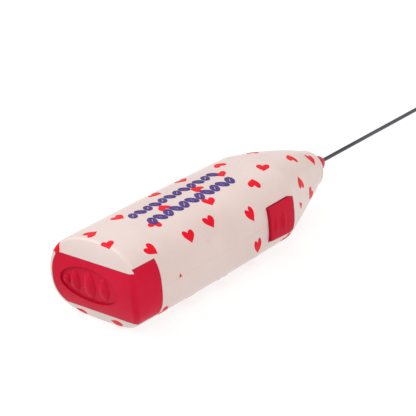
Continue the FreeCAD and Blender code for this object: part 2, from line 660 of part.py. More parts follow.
def armature_core():
    """A three-pole laminated core."""
    core = rod(CORE_X, CORE_HUB_R)
    shoe_ring = tube(CORE_X, CORE_R - SHOE_THICK, CORE_R)
    gaps = []
    for pole in range(3):
        angle = 120 * pole
        spoke = box(CORE_X, (-SPOKE_HALF, SPOKE_HALF), (0, CORE_R - SHOE_THICK / 2))
        spoke.rotate(V(0, 0, 0), X_AXIS, angle)
        core = core.fuse(spoke)
        gap = box(CORE_X, (-SLOT_HALF, SLOT_HALF), (CORE_R - 2 * SHOE_THICK, CORE_R + 1))
        gap.rotate(V(0, 0, 0), X_AXIS, angle + 60)
        gaps.append(gap)
    shoe_ring = shoe_ring.cut(gaps)
    return core.fuse(shoe_ring).cut(rod(CORE_X, SHAFT_R)).removeSplitter()


def armature_windings():
    """One coil round each spoke, as three separate solids."""
    coils = []
    outer_x = (CORE_X[0] - WINDING_END, CORE_X[1] + WINDING_END)
    hole_x = (CORE_X[0] - 0.02, CORE_X[1] + 0.02)
    hole_half = SPOKE_HALF + 0.02
    for pole in range(3):
        outer = box(outer_x, (-WINDING_HALF, WINDING_HALF), (2.9, CORE_R - SHOE_THICK - 0.65))
        outer = outer.makeFillet(0.9, [e for e in outer.Edges if e.BoundBox.ZLength > 1])
        coil = outer.cut(box(hole_x, (-hole_half, hole_half), (0, CORE_R)))
        coil.rotate(V(0, 0, 0), X_AXIS, 120 * pole)
        coils.append(coil)
    return Part.makeCompound(coils)


def commutator():
    """Three copper segments; the gaps between them are cut through."""
    segments = tube(COMMUTATOR_X, SHAFT_R + SLEEVE_THICK, COMMUTATOR_R)
    for pole in range(3):
        gap = box((COMMUTATOR_X[0] - 1, COMMUTATOR_X[1] + 1), (-0.2, 0.2), (0, FAR))
        gap.rotate(V(0, 0, 0), X_AXIS, 120 * pole + 60)
        segments = segments.cut(gap)
    return segments


def commutator_sleeve():
    return tube((COMMUTATOR_X[0], COMMUTATOR_X[1] + 1.0), SHAFT_R, SHAFT_R + SLEEVE_THICK)


# ---- whisk ---------------------------------------------------------------------------------------
def shaft_coupling():
    sleeve = rod(COUPLING_X, COUPLING_R)
    sleeve = sleeve.makeFillet(0.4, [sleeve.Edges[0], sleeve.Edges[2]])
    wire_from = COUPLING_X[1] - WIRE_SOCKET
    return sleeve.cut(rod((0, SHAFT_X[1]), SHAFT_R)).cut(rod((wire_from, FAR * 2), WIRE_R))


def wire_path():
    """Edges of the wire: along the axis, out to the ring, and round it."""
    socket = V(COUPLING_X[1] - WIRE_SOCKET, 0, 0)
    bend_from = V(RING_X - BEND_R, 0, 0)
    half = math.sqrt(0.5)
    bend_mid = V(RING_X - BEND_R + BEND_R * half, 0, BEND_R * (1 - half))
    bend_to = V(RING_X, 0, BEND_R)
    turn_z = math.sqrt((RING_R - BEND_R) ** 2 - BEND_R ** 2)
    turn_from = V(RING_X, 0, turn_z)
    turn_middle = (3 * math.pi / 2 - RING_START) / 2
    turn_mid = V(RING_X, BEND_R * (1 + math.cos(turn_middle)), turn_z + BEND_R * math.sin(turn_middle))
    sweep = math.radians(RING_SWEEP)
    ring_from, ring_mid, ring_to = [ring_point(RING_START + sweep * part) for part in (0, 0.5, 1)]
    return [Part.LineSegment(socket, bend_from).toShape(),
            Part.Arc(bend_from, bend_mid, bend_to).toShape(),
            Part.LineSegment(bend_to, turn_from).toShape(),
            Part.Arc(turn_from, turn_mid, ring_from).toShape(),
            Part.Arc(ring_from, ring_mid, ring_to).toShape()]


def ring_point(angle):
    """A point of the ring, by its angle from +z towards +y."""
    return V(RING_X, RING_R * math.sin(angle), RING_R * math.cos(angle))


def whisk_wire():
    edges = wire_path()
    profile = Part.Wire([Part.Circle(edges[0].Vertexes[0].Point, X_AXIS, WIRE_R).toShape()])
    wire = Part.Wire(edges).makePipeShell([profile], True, False)
    expected = math.pi * WIRE_R ** 2 * sum(e.Length for e in edges)
    print(f"whisk wire: volume {wire.Volume:.2f}, section times length {expected:.2f}")
    return wire


def whisk_coil():
    """The outside shape of the coil wound on the ring, with the ring's wire left free in its middle."""
    first = math.degrees(RING_START) + COIL_MARGIN
    sweep = RING_SWEEP - 2 * COIL_MARGIN
    centre = V(RING_X, 0, RING_R)
    outer = Part.Wire([Part.Circle(centre, Y_AXIS, COIL_R).toShape()])
    inner = Part.Wire([Part.Circle(centre, Y_AXIS, WIRE_R + COIL_BORE_GAP).toShape()])
    face = Part.Face(outer).cut(Part.Face(inner))
    face.rotate(V(0, 0, 0), X_AXIS, -first)
    return face.revolve(V(0, 0, 0), X_AXIS * -1, sweep)


# ---- everything ----------------------------------------------------------------------------------
def build():
    outer = envelope()
    upper, lower = casing_halves(outer)
    front_bush_x = (CAN_X[1] - FRONT_BUSH_IN, CAN_X[1] + FRONT_BOSS)
    rear_bush_x = (BELL_X - REAR_BOSS, BELL_X + REAR_BUSH_IN)
    return {
        "upper_shell": upper,
        "lower_shell": lower,
        "nose_collar": nose_collar(),
        "battery_cap": battery_cap(outer),
        "cap_contact": cap_contact(),
        "power_button": power_button(),
        "cradle": cradle(),
        "battery_a": cell(-CELL_Y, True),
        "battery_b": cell(CELL_Y, False),
        "negative_coil": negative_coil(),
        "negative_strip": negative_strip(),
        "positive_strip": positive_strip(),
        "switch_leaf": switch_leaf(),
        "fixed_contact": fixed_contact(),
        "motor_can": motor_can(),
        "motor_end_bell": motor_end_bell(),
        "motor_terminal_positive": motor_terminal(-1),
        "motor_terminal_negative": motor_terminal(1),
        "motor_brush_positive": motor_brush(-1),
        "motor_brush_negative": motor_brush(1),
        "motor_magnet_left": magnet(1),
        "motor_magnet_right": magnet(-1),
        "rear_bush": bush(rear_bush_x),
        "front_bush": bush(front_bush_x),
        "motor_shaft": rod(SHAFT_X, SHAFT_R),
        "armature_core": armature_core(),
        "armature_windings": armature_windings(),
        "commutator": commutator(),
        "commutator_sleeve": commutator_sleeve(),
        "shaft_coupling": shaft_coupling(),
        "whisk_wire": whisk_wire(),
        "whisk_coil": whisk_coil(),
    }


os.makedirs("parts", exist_ok=True)
for name, shape in build().items():
    placed = place(shape)
    kind = "valid" if placed.isValid() else "INVALID"
    print(f"{name:26s} {kind} solids {len(placed.Solids)} volume {placed.Volume:.1f}")
    placed.exportStep(f"parts/{name}.step")
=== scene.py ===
import json
import math
from functools import lru_cache
import bmesh
import bpy
from mathutils import Matrix, Vector
from mathutils.bvhtree import BVHTree


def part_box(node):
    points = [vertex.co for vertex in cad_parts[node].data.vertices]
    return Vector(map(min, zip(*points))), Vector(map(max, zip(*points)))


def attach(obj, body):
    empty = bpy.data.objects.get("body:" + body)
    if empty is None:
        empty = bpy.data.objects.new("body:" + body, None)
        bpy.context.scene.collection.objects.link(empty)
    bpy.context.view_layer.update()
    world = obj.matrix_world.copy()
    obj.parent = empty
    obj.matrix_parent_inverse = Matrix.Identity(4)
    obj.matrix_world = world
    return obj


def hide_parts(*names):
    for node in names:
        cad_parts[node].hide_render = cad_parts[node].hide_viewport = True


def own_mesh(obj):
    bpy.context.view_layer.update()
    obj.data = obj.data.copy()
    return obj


# The looks of a battery milk frother: plastic, print and metal finishes, the wound whisk head, and a studio.
# Lengths below are millimetres, and MM turns them into metres.
MM = 0.001

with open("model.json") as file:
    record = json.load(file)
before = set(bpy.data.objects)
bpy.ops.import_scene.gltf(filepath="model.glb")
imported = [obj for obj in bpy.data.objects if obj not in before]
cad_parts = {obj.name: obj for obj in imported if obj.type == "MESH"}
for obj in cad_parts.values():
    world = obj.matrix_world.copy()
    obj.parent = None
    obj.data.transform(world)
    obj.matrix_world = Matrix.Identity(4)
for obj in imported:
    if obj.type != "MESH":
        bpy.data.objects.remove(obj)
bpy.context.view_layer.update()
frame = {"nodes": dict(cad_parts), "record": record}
nodes = frame["nodes"]

# ---- places taken from the frame
SPIN_AXIS_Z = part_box("motor_shaft")[0][2] / 2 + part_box("motor_shaft")[1][2] / 2
WIRE_REACH = 206.64 * MM         # from the plane of the cap end's corners to the whisk end of the wire
CORNER_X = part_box("whisk_wire")[1][0] - WIRE_REACH

# ---- the casing's outer form: x from the corner plane, half width, half thickness, squareness of the oval
CASING = ((0.0, 19.0, 14.4, 2.8), (38.0, 19.4, 14.4, 2.8), (78.0, 18.0, 14.4, 2.8),
          (93.0, 12.1, 11.8, 2.45), (107.0, 6.9, 6.9, 2.1))
SECTION_STEPS = 240
END_RADIUS = 24.0                # radius of the cap end's bulge
END_CORNER_Z = 8.9               # height over the wire's axis where the bulge meets the corner plane

# ---- camera
CAMERA_AIM = Vector((-39.24, 8.3, 14.25)) * MM
CAMERA_DISTANCE = 596.1 * MM
CAMERA_HEADING = 46.66           # degrees from +Y towards +X
CAMERA_DIP = 23.76               # degrees below the horizon
CAMERA_ROLL = 5.17
CAMERA_LENS = 151.5

# ---- print on the casing
HEART_HEIGHT = 0.06              # the hearts stand this proud of the surface
BEAN_HEIGHT = 0.09               # and the beans a little more, over the hearts
PRINT_ROOT = 0.05                # both start this far under the surface
PRINT_RINGS = 6                  # rings of faces from a print's middle to its outline
PRINT_START = 0.35               # x of the first print, on the rounding of the end
RAY_START = 3.0                  # the search for the surface starts this far outside the plain form
SURFACE_REACH = 1.0              # how far the casing's rounded ends may lie from its plain form
SURFACE_FACING = 0.3             # how squarely the surface has to face the print's direction
REACH_STEPS = 30                 # steps in the search for an outline's farthest printable place
HEART_SIZE = 4.7
HEART_FULLNESS = 2.2             # 3 gives a thin drawn-out tip, 2 a broad one
HEART_POINTS = 40
HEART_HALF_WIDTH = 0.48          # of a heart, against its size
HEART_CURVE_MIDDLE = 2.5         # the plain heart curve's middle lies this far under its origin
HEART_CURVE_LENGTH = 30          # and it is about this long
# x along the handle, distance round it from the top's middle towards the button, turn in degrees,
# length and width against the usual heart
HEARTS = (
    (5.8, -5.0, 80, 1.0, 1.0), (19.6, -6.3, 5, 1.0, 1.0), (2.8, 5.0, -35, 1.0, 1.0),
    (11.7, 15.6, 28, 1.0, 1.0), (22.4, 6.8, 140, 1.0, 1.0), (27.5, 17.7, -10, 1.0, 1.0),
    (38.2, 16.8, 0, 1.0, 1.0), (32.6, 1.2, 170, 1.0, 1.0), (49.3, 0.7, -150, 1.0, 1.0),
    (45.3, 9.9, -22, 1.0, 1.0), (40.3, -9.4, 20, 1.0, 1.0), (53.5, -9.6, -10, 1.0, 1.0),
    (69.3, -7.0, 165, 1.0, 1.0), (62.9, -0.4, -20, 1.0, 1.0), (65.6, 11.7, 145, 1.0, 1.0),
    (75.4, 7.6, -45, 1.0, 1.0), (55.6, 21.0, 16, 1.15, 0.88), (57.6, 33.2, 14, 1.35, 0.8),
    (86.9, 16.8, -172, 0.95, 0.95), (86.0, -6.0, 130, 0.95, 0.95), (92.0, 6.0, 160, 1.0, 0.95),
    (103.2, 6.2, 0, 1.0, 0.9), (84.6, 25.2, 120, 0.5, 0.5), (95.4, 20.7, -30, 1.1, 1.0),
    (19.0, 27.7, 60, 0.25, 0.25), (13.2, 38.6, 70, 0.9, 0.9), (75.6, 38.5, 30, 1.0, 1.0),
    (84.0, -21.5, 20, 1.0, 1.0), (87.5, -33.0, 150, 1.0, 1.0), (93.0, -15.0, -35, 1.0, 1.0),
    (99.5, -20.5, 95, 0.95, 0.95), (90.5, 33.5, -120, 1.0, 1.0),
)
# the same for the sides that face away: rows of hearts, each with its own first place
FAR_ROWS = ((9.0, -18.5), (17.0, -35.5), (8.0, -43.5), (27.0, 42.5))
FAR_STEP = 16.5
FAR_END = 76.0
FAR_TURNS = (20, 150, -35, 95, -120)
# y, height above the wire's axis, turn, scale, on the end's bulge
END_HEARTS = ((9.6, -12.8, 120, 0.95), (-6.3, -12.6, 115, 1.0), (15.8, 9.2, 200, 0.9))
# count, first x, last x, distance round the casing, length and width of each bean in a row
BEAN_ROWS = ((12, 22.6, 61.2, -2.8, 4.4, 3.0), (11, 23.2, 60.9, 5.2, 5.2, 3.2))
BEAN_TURN = 24                   # degrees, each way by turns
BEAN_STEPS = 12
SLIT_HALF = 0.13                 # half width of the slit along a bean
SLIT_SWAY = 0.10                 # how far the slit sways sideways, against the bean's width

# ---- a cell's sleeve: colours, and where along the cell each begins, from its flat end to its nub
SLEEVE_DARK = (0.03, 0.03, 0.035)
SLEEVE_COPPER = (0.62, 0.36, 0.12)
SLEEVE_METAL = (0.6, 0.6, 0.62)
SLEEVE_BASE = 0.012
SLEEVE_BAND = 0.72
SLEEVE_NUB = 0.968

# ---- finishes: the plastic's noise in features per metre, and how every finish's gloss follows its noise
DRIFT_SCALE = 60.0
SMUDGE_SCALE = 220.0
GRAIN_SCALE = 2600.0
SMUDGE_RANGE = (0.3, 0.7)        # noise values from the smoothest place to the roughest
BEVEL_SAMPLES = 6                # for edges that look rounded

# ---- whisk head
COIL_WIRE_R = 0.34
COIL_WIRE_DETAIL = 2             # bevel resolution of the fine wire's outline
COIL_R = 1.9
COIL_TURNS = 46
COIL_TURN_POINTS = 20
RING_R = 9.2
RING_BEND_R = 2.2                # the bend where the ring leaves the straight wire
RING_SWEEP = 322.0               # degrees of ring
COIL_MARGIN = 6.0                # degrees of bare ring at each end of the winding

# ---- switch leaf
# x from the corner plane and distance from the middle, along the leaf's middle line
LEAF_LINE = ((61.3, 12.05), (64.2, 12.05), (68.4, 13.3), (70.3, 13.55), (72.2, 13.3), (74.4, 12.7))
LEAF_THICK = 0.25
LEAF_STEPS = 14                  # pieces in each stretch of the line

# ---- studio
SENSOR_WIDTH = 36.0
CLIP_NEAR, CLIP_FAR = 0.01, 20.0
WORLD_LOW = (0.78, 0.74, 0.73)   # light from the horizon and below, warmer and dimmer
WORLD_HIGH = (1.0, 1.0, 1.0)
WORLD_RAMP_END = 0.8
WORLD_STRENGTH = 0.95
FLOOR_HALF = 4.0                 # metres
FLOOR_CELLS = 8
FLOOR_COLOUR = (1.0, 0.985, 0.98)
FLOOR_GLOW = 0.78                # the floor gives light, which takes most of the shadow away
FLOOR_GAP = 0.05 * MM            # keeps the floor's plane apart from the face that the handle rests on


# ---- geometry helpers
def section(x):
    """Half width, half thickness and squareness of the casing's oval at x."""
    x = min(max(x, CASING[0][0]), CASING[-1][0])
    for low, high in zip(CASING, CASING[1:]):
        if x <= high[0]:
            part = (x - low[0]) / (high[0] - low[0])
            return [a + (b - a) * part for a, b in zip(low[1:], high[1:])]


@lru_cache(maxsize=None)
def outline_lengths(x):
    """Points round the oval at x, from the top's middle towards the button, with the distance to each."""
    half_width, half_thick, squareness = section(x)
    points = []
    for i in range(SECTION_STEPS + 1):
        a = math.pi * (0.5 + 2 * i / SECTION_STEPS)
        c = abs(math.cos(a)) / half_width
        s = abs(math.sin(a)) / half_thick
        r = (c ** squareness + s ** squareness) ** (-1 / squareness)
        points.append(Vector((r * math.cos(a), r * math.sin(a))))
    lengths = [0.0]
    for a, b in zip(points, points[1:]):
        lengths.append(lengths[-1] + (b - a).length)
    return points, lengths


def casing_point(x, round_it):
    """The place and outward direction on the casing's form, in metres, for a place in print coordinates."""
    points, lengths = outline_lengths(round(x, 1))
    distance = round_it % lengths[-1]
    high = next(i for i, length in enumerate(lengths) if length >= distance)
    low = max(high - 1, 0)
    span = lengths[high] - lengths[low] or 1.0
    spot = points[low].lerp(points[high], (distance - lengths[low]) / span)
    along = points[high] - points[low]
    outward = Vector((0.0, along.y, -along.x)).normalized()
    if outward.y * spot.x + outward.z * spot.y < 0:
        outward = -outward
    place = Vector((CORNER_X + x * MM, spot.x * MM, SPIN_AXIS_Z + spot.y * MM))
    return place, outward


def end_point(y, z):
    """The same for a place on the bulging end."""
    bulge = math.sqrt(END_RADIUS ** 2 - z ** 2)
    x = math.sqrt(END_RADIUS ** 2 - END_CORNER_Z ** 2) - bulge
    place = Vector((CORNER_X + x * MM, y * MM, SPIN_AXIS_Z + z * MM))
    return place, Vector((-bulge, 0.0, z)).normalized()


def new_object(name, bm, material, smooth=True):
    """A finished object from the given faces, with one material."""
    mesh = bpy.data.meshes.new(name)
    bmesh.ops.recalc_face_normals(bm, faces=bm.faces)
    for face in bm.faces:
        face.smooth = smooth
    bm.to_mesh(mesh)
    bm.free()
    obj = bpy.data.objects.new(name, mesh)
    bpy.context.scene.collection.objects.link(obj)
    mesh.materials.append(material)
    return obj


def surface_tree(*pieces):
    """A search tree over the outer surface of the given objects."""
    bm = bmesh.new()
    for piece in pieces:
        bm.from_mesh(piece.data)
    tree = BVHTree.FromBMesh(bm)
    bm.free()
    return tree


# ---- material helpers
def new_material(name, colour, roughness, metallic=0.0):
    """A plain material with its shader, ready for blends and relief."""
    material = bpy.data.materials.new(name)
    material.use_nodes = True
    shader = material.node_tree.nodes["Principled BSDF"]
    shader.inputs["Base Color"].default_value = (*colour, 1.0)
    shader.inputs["Roughness"].default_value = roughness
    shader.inputs["Metallic"].default_value = metallic
    return material, shader


def noise(material, scale, detail=3.0, stretch=(1, 1, 1)):
    """Noise over the object's own coordinates; scale counts features per metre."""
    tree = material.node_tree
    coords = tree.nodes.new("ShaderNodeTexCoord")
    mapping = tree.nodes.new("ShaderNodeMapping")
    mapping.inputs["Scale"].default_value = stretch
    texture = tree.nodes.new("ShaderNodeTexNoise")
    texture.inputs["Scale"].default_value = scale
    texture.inputs["Detail"].default_value = detail
    tree.links.new(coords.outputs["Object"], mapping.inputs["Vector"])
    tree.links.new(mapping.outputs["Vector"], texture.inputs["Vector"])
    return texture.outputs["Fac"]


def blend_colours(material, shader, factor, dark, light, low=0.35, high=0.65):
    """The surface's colour runs from dark to light as factor goes from low to high."""
    tree = material.node_tree
    ramp = tree.nodes.new("ShaderNodeValToRGB")
    ramp.color_ramp.elements[0].position = low
    ramp.color_ramp.elements[0].color = (*dark, 1.0)
    ramp.color_ramp.elements[1].position = high
    ramp.color_ramp.elements[1].color = (*light, 1.0)
    tree.links.new(factor, ramp.inputs["Fac"])
    tree.links.new(ramp.outputs["Color"], shader.inputs["Base Color"])
    return ramp


def blend_roughness(material, shader, factor, smooth, rough):
    """The gloss changes from place to place between smooth and rough."""
    tree = material.node_tree
    spread = tree.nodes.new("ShaderNodeMapRange")
    spread.inputs["From Min"].default_value = SMUDGE_RANGE[0]
    spread.inputs["From Max"].default_value = SMUDGE_RANGE[1]
    spread.inputs["To Min"].default_value = smooth
    spread.inputs["To Max"].default_value = rough
    tree.links.new(factor, spread.inputs["Value"])
    tree.links.new(spread.outputs["Result"], shader.inputs["Roughness"])


def add_bump(material, shader, height, strength, depth, edge=0.0):
    """Fine relief, on edges that look rounded when edge is given."""
    tree = material.node_tree
    bump = tree.nodes.new("ShaderNodeBump")
    bump.inputs["Strength"].default_value = strength
    bump.inputs["Distance"].default_value = depth * MM
    if edge:
        soft = tree.nodes.new("ShaderNodeBevel")
        soft.samples = BEVEL_SAMPLES
        soft.inputs["Radius"].default_value = edge * MM
        tree.links.new(soft.outputs["Normal"], bump.inputs["Normal"])
    tree.links.new(height, bump.inputs["Height"])
    tree.links.new(bump.outputs["Normal"], shader.inputs["Normal"])


def plastic(name, dark, light, smooth, rough, shine=0.5, grain=0.02, edge=0.2):
    """Moulded plastic: slow colour drift, smudges in the gloss, and the mould's fine grain."""
    material, shader = new_material(name, light, smooth)
    shader.inputs["Specular IOR Level"].default_value = shine
    blend_colours(material, shader, noise(material, DRIFT_SCALE), dark, light)
    blend_roughness(material, shader, noise(material, SMUDGE_SCALE, 4.0), smooth, rough)
    add_bump(material, shader, noise(material, GRAIN_SCALE, 2.0), 0.35, grain, edge)
    return material


def metal(name, dark, light, smooth, rough, stretch=(1, 1, 1), scale=900.0, grain=0.01):
    """Metal with its working marks drawn out along one axis."""
    material, shader = new_material(name, light, smooth, 1.0)
    blend_colours(material, shader, noise(material, scale, 4.0, stretch), dark, light)
    blend_roughness(material, shader, noise(material, scale * 0.6, 3.0, stretch), smooth, rough)
    add_bump(material, shader, noise(material, scale * 2, 2.0, stretch), 0.4, grain)
    return material


def printed_sleeve(name, node, nub_forward):
    """A cell's dark sleeve, with a copper-coloured band towards the nub and bare metal at both ends."""
    material, shader = new_material(name, SLEEVE_DARK, 0.3, 0.6)
    tree = material.node_tree
    coords = tree.nodes.new("ShaderNodeTexCoord")
    split = tree.nodes.new("ShaderNodeSeparateXYZ")
    spread = tree.nodes.new("ShaderNodeMapRange")
    low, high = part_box(node)
    spread.inputs["From Min"].default_value = low[0] if nub_forward else high[0]
    spread.inputs["From Max"].default_value = high[0] if nub_forward else low[0]
    tree.links.new(coords.outputs["Object"], split.inputs["Vector"])
    tree.links.new(split.outputs["X"], spread.inputs["Value"])
    along = spread.outputs["Result"]
    ramp = blend_colours(material, shader, along, SLEEVE_METAL, SLEEVE_METAL, 0.0, SLEEVE_NUB)
    ramp.color_ramp.interpolation = "CONSTANT"
    for place, colour in ((SLEEVE_BASE, SLEEVE_DARK), (SLEEVE_BAND, SLEEVE_COPPER)):
        ramp.color_ramp.elements.new(place).color = (*colour, 1.0)
    blend_roughness(material, shader, noise(material, 500.0), 0.25, 0.4)
    add_bump(material, shader, noise(material, 1500.0), 0.3, 0.02)
    return material


def laminated(name):
    """Stacked steel sheets, seen as fine lines across the axis."""
    material, shader = new_material(name, (0.3, 0.3, 0.31), 0.45, 1.0)
    tree = material.node_tree
    coords = tree.nodes.new("ShaderNodeTexCoord")
    wave = tree.nodes.new("ShaderNodeTexWave")
    wave.inputs["Scale"].default_value = 320.0
    tree.links.new(coords.outputs["Object"], wave.inputs["Vector"])
    blend_colours(material, shader, wave.outputs["Fac"], (0.10, 0.10, 0.11), (0.42, 0.42, 0.44), 0.1, 0.5)
    add_bump(material, shader, wave.outputs["Fac"], 0.6, 0.05)
    return material


def wound(name):
    """Enamelled copper wire laid side by side along the axis, with painted shade in the grooves between
    turns.
    """
    material, shader = new_material(name, (0.6, 0.22, 0.08), 0.3, 0.9)
    tree = material.node_tree
    coords = tree.nodes.new("ShaderNodeTexCoord")
    wave = tree.nodes.new("ShaderNodeTexWave")
    wave.bands_direction = "DIAGONAL"
    wave.inputs["Scale"].default_value = 700.0
    wave.inputs["Distortion"].default_value = 1.5
    tree.links.new(coords.outputs["Object"], wave.inputs["Vector"])
    # the light end is the copper's own colour on the turns; the dark end, in the grooves between them, is
    # painted shade
    blend_colours(material, shader, wave.outputs["Fac"], (0.22, 0.06, 0.02), (0.75, 0.30, 0.12), 0.1, 0.6)
    add_bump(material, shader, wave.outputs["Fac"], 0.8, 0.08)
    return material


ALONG = (0.03, 1, 1)             # marks drawn out along the handle
ROUND = (1, 0.05, 0.05)          # marks turned round the axis

casing_white = plastic("casing_white", (0.60, 0.49, 0.455), (0.635, 0.525, 0.495), 0.27, 0.36, 0.35)
cap_red = plastic("cap_red", (0.49, 0.005, 0.028), (0.53, 0.008, 0.035), 0.30, 0.42, 0.06)
button_red = plastic("button_red", (0.445, 0.005, 0.024), (0.485, 0.008, 0.030), 0.38, 0.48, 0.05)
collar_red = plastic("collar_red", (0.42, 0.004, 0.018), (0.47, 0.007, 0.025), 0.30, 0.42, 0.2)
heart_ink = plastic("heart_ink", (0.64, 0.003, 0.014), (0.70, 0.005, 0.020), 0.32, 0.45, 0.08, 0.01, 0.0)
ornament_ink = plastic("ornament_ink", (0.060, 0.034, 0.175), (0.074, 0.044, 0.210),
                       0.32, 0.45, 0.08, 0.01, 0.0)
MATERIALS = {
    "casing_white": casing_white,
    "cap_red": cap_red,
    "button_red": button_red,
    "collar_red": collar_red,
    "cradle_plastic": plastic("cradle_plastic", (0.72, 0.71, 0.67), (0.80, 0.79, 0.75), 0.45, 0.6),
    "cell_can": printed_sleeve("cell_sleeve", "battery_a", True),
    "contact_metal": metal("contact_metal", (0.55, 0.52, 0.42), (0.72, 0.69, 0.60), 0.2, 0.4),
    "leaf_bronze": metal("leaf_bronze", (0.48, 0.30, 0.14), (0.66, 0.44, 0.22), 0.2, 0.4, ALONG),
    "motor_steel": metal("motor_steel", (0.48, 0.49, 0.51), (0.62, 0.63, 0.65), 0.22, 0.4, ALONG),
    "bell_plastic": plastic("bell_plastic", (0.70, 0.69, 0.64), (0.78, 0.77, 0.72), 0.4, 0.55),
    "magnet_ferrite": plastic("magnet_ferrite", (0.02, 0.02, 0.022), (0.045, 0.045, 0.05),
                              0.5, 0.7, 0.4, 0.06),
    "bush_bronze": metal("bush_bronze", (0.26, 0.16, 0.07), (0.42, 0.27, 0.13), 0.35, 0.55),
    "shaft_steel": metal("shaft_steel", (0.50, 0.51, 0.53), (0.68, 0.69, 0.72), 0.15, 0.3, ROUND),
    "core_steel": laminated("core_steel"),
    "winding_copper": wound("winding_copper"),
    "commutator_copper": metal("commutator_copper", (0.50, 0.20, 0.10), (0.74, 0.36, 0.20),
                               0.25, 0.45, ROUND),
    "insulator": plastic("insulator", (0.10, 0.045, 0.02), (0.15, 0.07, 0.035), 0.4, 0.55),
    "coupling_plastic": plastic("coupling_plastic", (0.72, 0.72, 0.70), (0.80, 0.80, 0.78), 0.35, 0.5),
    "wire_steel": metal("wire_steel", (0.075, 0.075, 0.09), (0.14, 0.14, 0.16), 0.3, 0.48, ALONG),
    "coil_steel": metal("coil_steel", (0.46, 0.47, 0.50), (0.66, 0.67, 0.70), 0.2, 0.38),
}


def dress_nodes():
    """Every node of the CAD model gets the finish of its slot."""
    for part in frame["record"]["subparts"]:
        mesh = nodes[part["node"]].data
        mesh.materials.clear()
        mesh.materials.append(MATERIALS[part["material_slot"]])
    reversed_cell = printed_sleeve("cell_sleeve_reversed", "battery_b", False)
    nodes["battery_b"].data.materials[0] = reversed_cell


# ---- print
def heart_outline(long, wide):
    """A heart with its tip towards +v, about its middle."""
    points = []
    for i in range(HEART_POINTS):
        t = 2 * math.pi * i / HEART_POINTS
        u = math.copysign(abs(math.sin(t)) ** HEART_FULLNESS, math.sin(t))
        v = 13 * math.cos(t) - 5 * math.cos(2 * t) - 2 * math.cos(3 * t) - math.cos(4 * t)
        across = u * wide * HEART_SIZE * HEART_HALF_WIDTH
        points.append((across, -(v + HEART_CURVE_MIDDLE) * long * HEART_SIZE / HEART_CURVE_LENGTH))
    return points


def half_bean(length, width, side):
    """Half of a coffee bean, with the bean's curved slit as its inner edge."""
    points = []
    for i in range(BEAN_STEPS + 1):
        a = math.pi * i / BEAN_STEPS
        points.append((side * width / 2 * math.sin(a), length / 2 * math.cos(a)))
    for i in range(1, BEAN_STEPS):
        part = i / BEAN_STEPS
        slit = side * SLIT_HALF + width * SLIT_SWAY * math.sin(2 * math.pi * part)
        points.append((slit, length * (part - 0.5)))
    return points


def add_print(bm, tree, outline, locate, turn, height):
    """A thin raised patch on the casing; where the outline runs over an edge or a gap it ends there."""
    turn = math.radians(turn)
    middle = sum((Vector(point) for point in outline), Vector((0.0, 0.0))) / len(outline)

    def spot(point, share):
        u, v = middle.lerp(Vector(point), share)
        across = u * math.cos(turn) + v * math.sin(turn)
        down = v * math.cos(turn) - u * math.sin(turn)
        return on_surface(tree, *locate(across, down))

    reach = [reach_of(spot, point) for point in outline]
    if min(reach) == 0:
        return
    grid = [[spot(outline[0], 0.0)]]
    for ring in range(1, PRINT_RINGS + 1):
        grid.append([spot(point, far * ring / PRINT_RINGS) for point, far in zip(outline, reach)])
    if any(place is None for row in grid for place in row):
        return
    top = [[bm.verts.new(p + n * height * MM) for p, n in row] for row in grid]
    root = [[bm.verts.new(p - n * PRINT_ROOT * MM) for p, n in row] for row in grid]
    count = len(outline)
    for layer in (top, root):
        for i in range(count):
            bm.faces.new((layer[0][0], layer[1][i], layer[1][(i + 1) % count]))
        for inner, outer in zip(layer[1:], layer[2:]):
            for i in range(count):
                j = (i + 1) % count
                bm.faces.new((inner[i], outer[i], outer[j], inner[j]))
    for i in range(count):
        j = (i + 1) % count
        bm.faces.new((top[-1][i], root[-1][i], root[-1][j], top[-1][j]))


def reach_of(spot, point):
    """The largest share of the way to the point that still lies on the casing."""
    for step in range(REACH_STEPS, 0, -1):
        if spot(point, step / REACH_STEPS):
            return step / REACH_STEPS
    return 0


def on_surface(tree, place, outward):
    """Where the print's place meets the casing, or None where a gap or another part is there."""
    hit, normal, _, distance = tree.ray_cast(place + outward * RAY_START * MM, -outward)
    if hit is None or normal.dot(outward) < SURFACE_FACING:
        return None
    if abs(distance - RAY_START * MM) > SURFACE_REACH * MM:
        return None
    return hit, outward


def far_hearts():
    """The hearts of the rows on the sides that face away."""
    rows = []
    for first_x, round_it in FAR_ROWS:
        x = first_x
        while x < FAR_END:
            rows.append((x, round_it, FAR_TURNS[len(rows) % len(FAR_TURNS)], 1.0, 1.0))
            x += FAR_STEP
    return tuple(rows)


def print_hearts(tree):
    """Every heart on the casing, as one thin raised print."""
    bm = bmesh.new()
    for x, round_it, turn, long, wide in HEARTS + far_hearts():
        def locate(across, down):
            return casing_point(max(x + across, PRINT_START), round_it + down)
        add_print(bm, tree, heart_outline(long, wide), locate, turn, HEART_HEIGHT)
    for y, z, turn, scale in END_HEARTS:
        def locate(across, down):
            return end_point(y + across, z - down)
        add_print(bm, tree, heart_outline(scale, scale), locate, turn, HEART_HEIGHT)
    obj = new_object("heart_print", bm, heart_ink)
    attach(obj, "handle")


def print_ornament(tree):
    """Two rows of coffee beans along the top."""
    bm = bmesh.new()
    for count, start, end, round_it, length, width in BEAN_ROWS:
        for i in range(count):
            x = start + (end - start) * i / (count - 1)

            def locate(across, down):
                return casing_point(x + across, round_it + down)
            turn = BEAN_TURN if i % 2 else -BEAN_TURN
            for side in (-1, 1):
                add_print(bm, tree, half_bean(length, width, side), locate, turn, BEAN_HEIGHT)
    obj = new_object("ornament_print", bm, ornament_ink)
    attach(obj, "handle")


